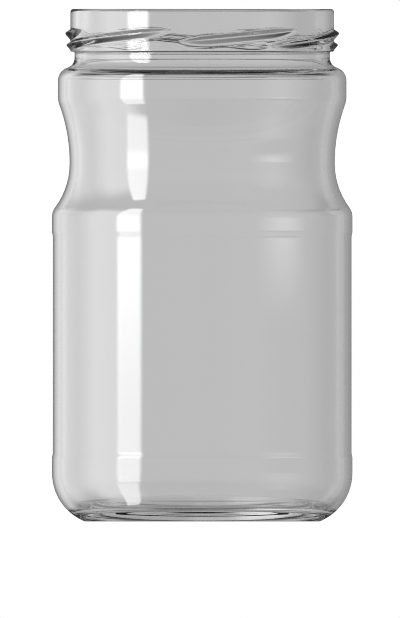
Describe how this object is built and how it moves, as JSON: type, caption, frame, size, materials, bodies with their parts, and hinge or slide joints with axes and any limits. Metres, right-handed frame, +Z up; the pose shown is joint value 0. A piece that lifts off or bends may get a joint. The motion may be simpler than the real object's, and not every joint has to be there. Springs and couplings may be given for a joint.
{
  "type": "twist-off glass jar",
  "caption": "Clear round glass jar with a drawn-in waist, a plain label panel, a domed base and a lugged mouth for a twist-off lid; open and empty.",
  "frame": {"origin": "centre of the bearing ring the jar stands on, on the jar's axis", "axes": "+Z up along the jar's axis to its mouth; -Y is the front"},
  "size_m": [0.09, 0.09, 0.1534],
  "materials": {
    "clear_glass": "clear, smooth, fire-polished soda-lime glass"
  },
  "bodies": {
    "root": {"glass_jar": "clear_glass"}
  },
  "joints": []
}
